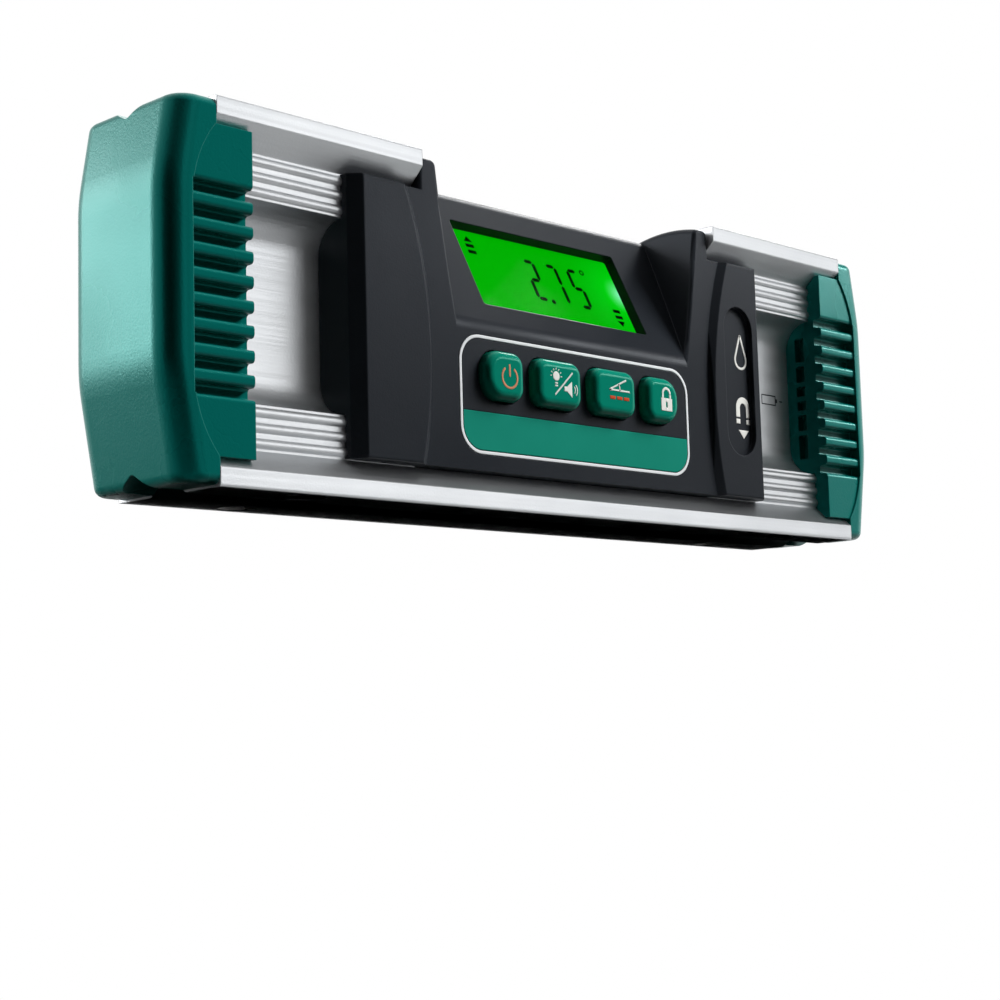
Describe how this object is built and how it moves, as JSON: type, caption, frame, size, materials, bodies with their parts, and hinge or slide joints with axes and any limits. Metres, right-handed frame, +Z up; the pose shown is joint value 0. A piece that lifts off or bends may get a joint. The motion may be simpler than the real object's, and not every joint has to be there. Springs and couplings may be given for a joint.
{
  "type": "digital spirit level",
  "caption": "Compact digital level: grooved aluminium rail with ribbed end caps and a clamped housing that holds a leaning lit display over a row of soft buttons.",
  "frame": {"origin": "middle of the base, on the centre line of the pipe groove, in the plane of the two feet", "axes": "+X along the rail to the right as the display is read, +Y from the display side to the battery door, +Z up"},
  "size_m": [0.1826, 0.0272, 0.06],
  "materials": {
    "rail_metal": "satin, bead blasted and anodised",
    "cap_plastic": "soft satin plastic",
    "housing_plastic": "fine-grained charcoal plastic",
    "seal_rubber": "soft silicone",
    "screw_steel": "bright zinc",
    "magnet_plating": "nickel plate",
    "window_clear": "clear polycarbonate",
    "display_green": "lit liquid crystal display",
    "ribbon_film": "polyimide film",
    "guide_white": "milky acrylic",
    "outline_print": "printed line",
    "band_print": "printed band",
    "board_laminate": "glass-epoxy with green mask",
    "switch_plastic": "moulded",
    "chip_plastic": "moulded epoxy",
    "cell_can": "printed sleeve",
    "contact_brass": "nickel-plated spring brass",
    "button_rubber": "soft satin silicone"
  },
  "bodies": {
    "level": {"rail": "rail_metal", "left_end_cap": "cap_plastic", "right_end_cap": "cap_plastic", "base_magnets": "magnet_plating", "front_housing": "housing_plastic", "rear_housing": "housing_plastic", "housing_gasket": "seal_rubber", "housing_screws": "screw_steel", "display_window": "window_clear", "display_frame": "housing_plastic", "lcd_panel": "display_green", "lcd_ribbon": "ribbon_film", "backlight_guide": "guide_white", "backlight_led": "guide_white", "panel_outline": "outline_print", "panel_band": "band_print", "keypad_mat": "seal_rubber", "main_board": "board_laminate", "board_screws": "screw_steel", "tact_switches": "switch_plastic", "tilt_sensor": "chip_plastic", "controller_chip": "chip_plastic", "buzzer": "switch_plastic", "battery_cell_lower": "cell_can", "battery_cell_upper": "cell_can", "battery_contacts_left": "contact_brass", "battery_contacts_right": "contact_brass", "door_gasket": "seal_rubber"},
    "power_button": {"power_button": "button_rubber"},
    "light_button": {"light_button": "button_rubber"},
    "mode_button": {"mode_button": "button_rubber"},
    "hold_button": {"hold_button": "button_rubber"},
    "battery_door": {"battery_door": "housing_plastic"},
    "door_screw_left": {"door_screw_left": "screw_steel"},
    "door_screw_right": {"door_screw_right": "screw_steel"}
  },
  "joints": [
    {"name": "power_press", "type": "slide", "parent": "level", "child": "power_button", "axis": [0, 1, 0], "range_m": [0, 0.0007], "stiffness_N_per_m": 2000},
    {"name": "light_press", "type": "slide", "parent": "level", "child": "light_button", "axis": [0, 1, 0], "range_m": [0, 0.0007], "stiffness_N_per_m": 2000},
    {"name": "mode_press", "type": "slide", "parent": "level", "child": "mode_button", "axis": [0, 1, 0], "range_m": [0, 0.0007], "stiffness_N_per_m": 2000},
    {"name": "hold_press", "type": "slide", "parent": "level", "child": "hold_button", "axis": [0, 1, 0], "range_m": [0, 0.0007], "stiffness_N_per_m": 2000},
    {"name": "door_lift", "type": "slide", "parent": "level", "child": "battery_door", "axis": [0, 1, 0], "range_m": [0, 0.03]},
    {"name": "door_screw_left_turn", "type": "hinge", "parent": "battery_door", "child": "door_screw_left", "pos_m": [-0.02775, 0.0119, 0.02175], "axis": [0, 1, 0], "continuous": true},
    {"name": "door_screw_right_turn", "type": "hinge", "parent": "battery_door", "child": "door_screw_right", "pos_m": [0.02775, 0.0119, 0.02175], "axis": [0, 1, 0], "continuous": true}
  ]
}
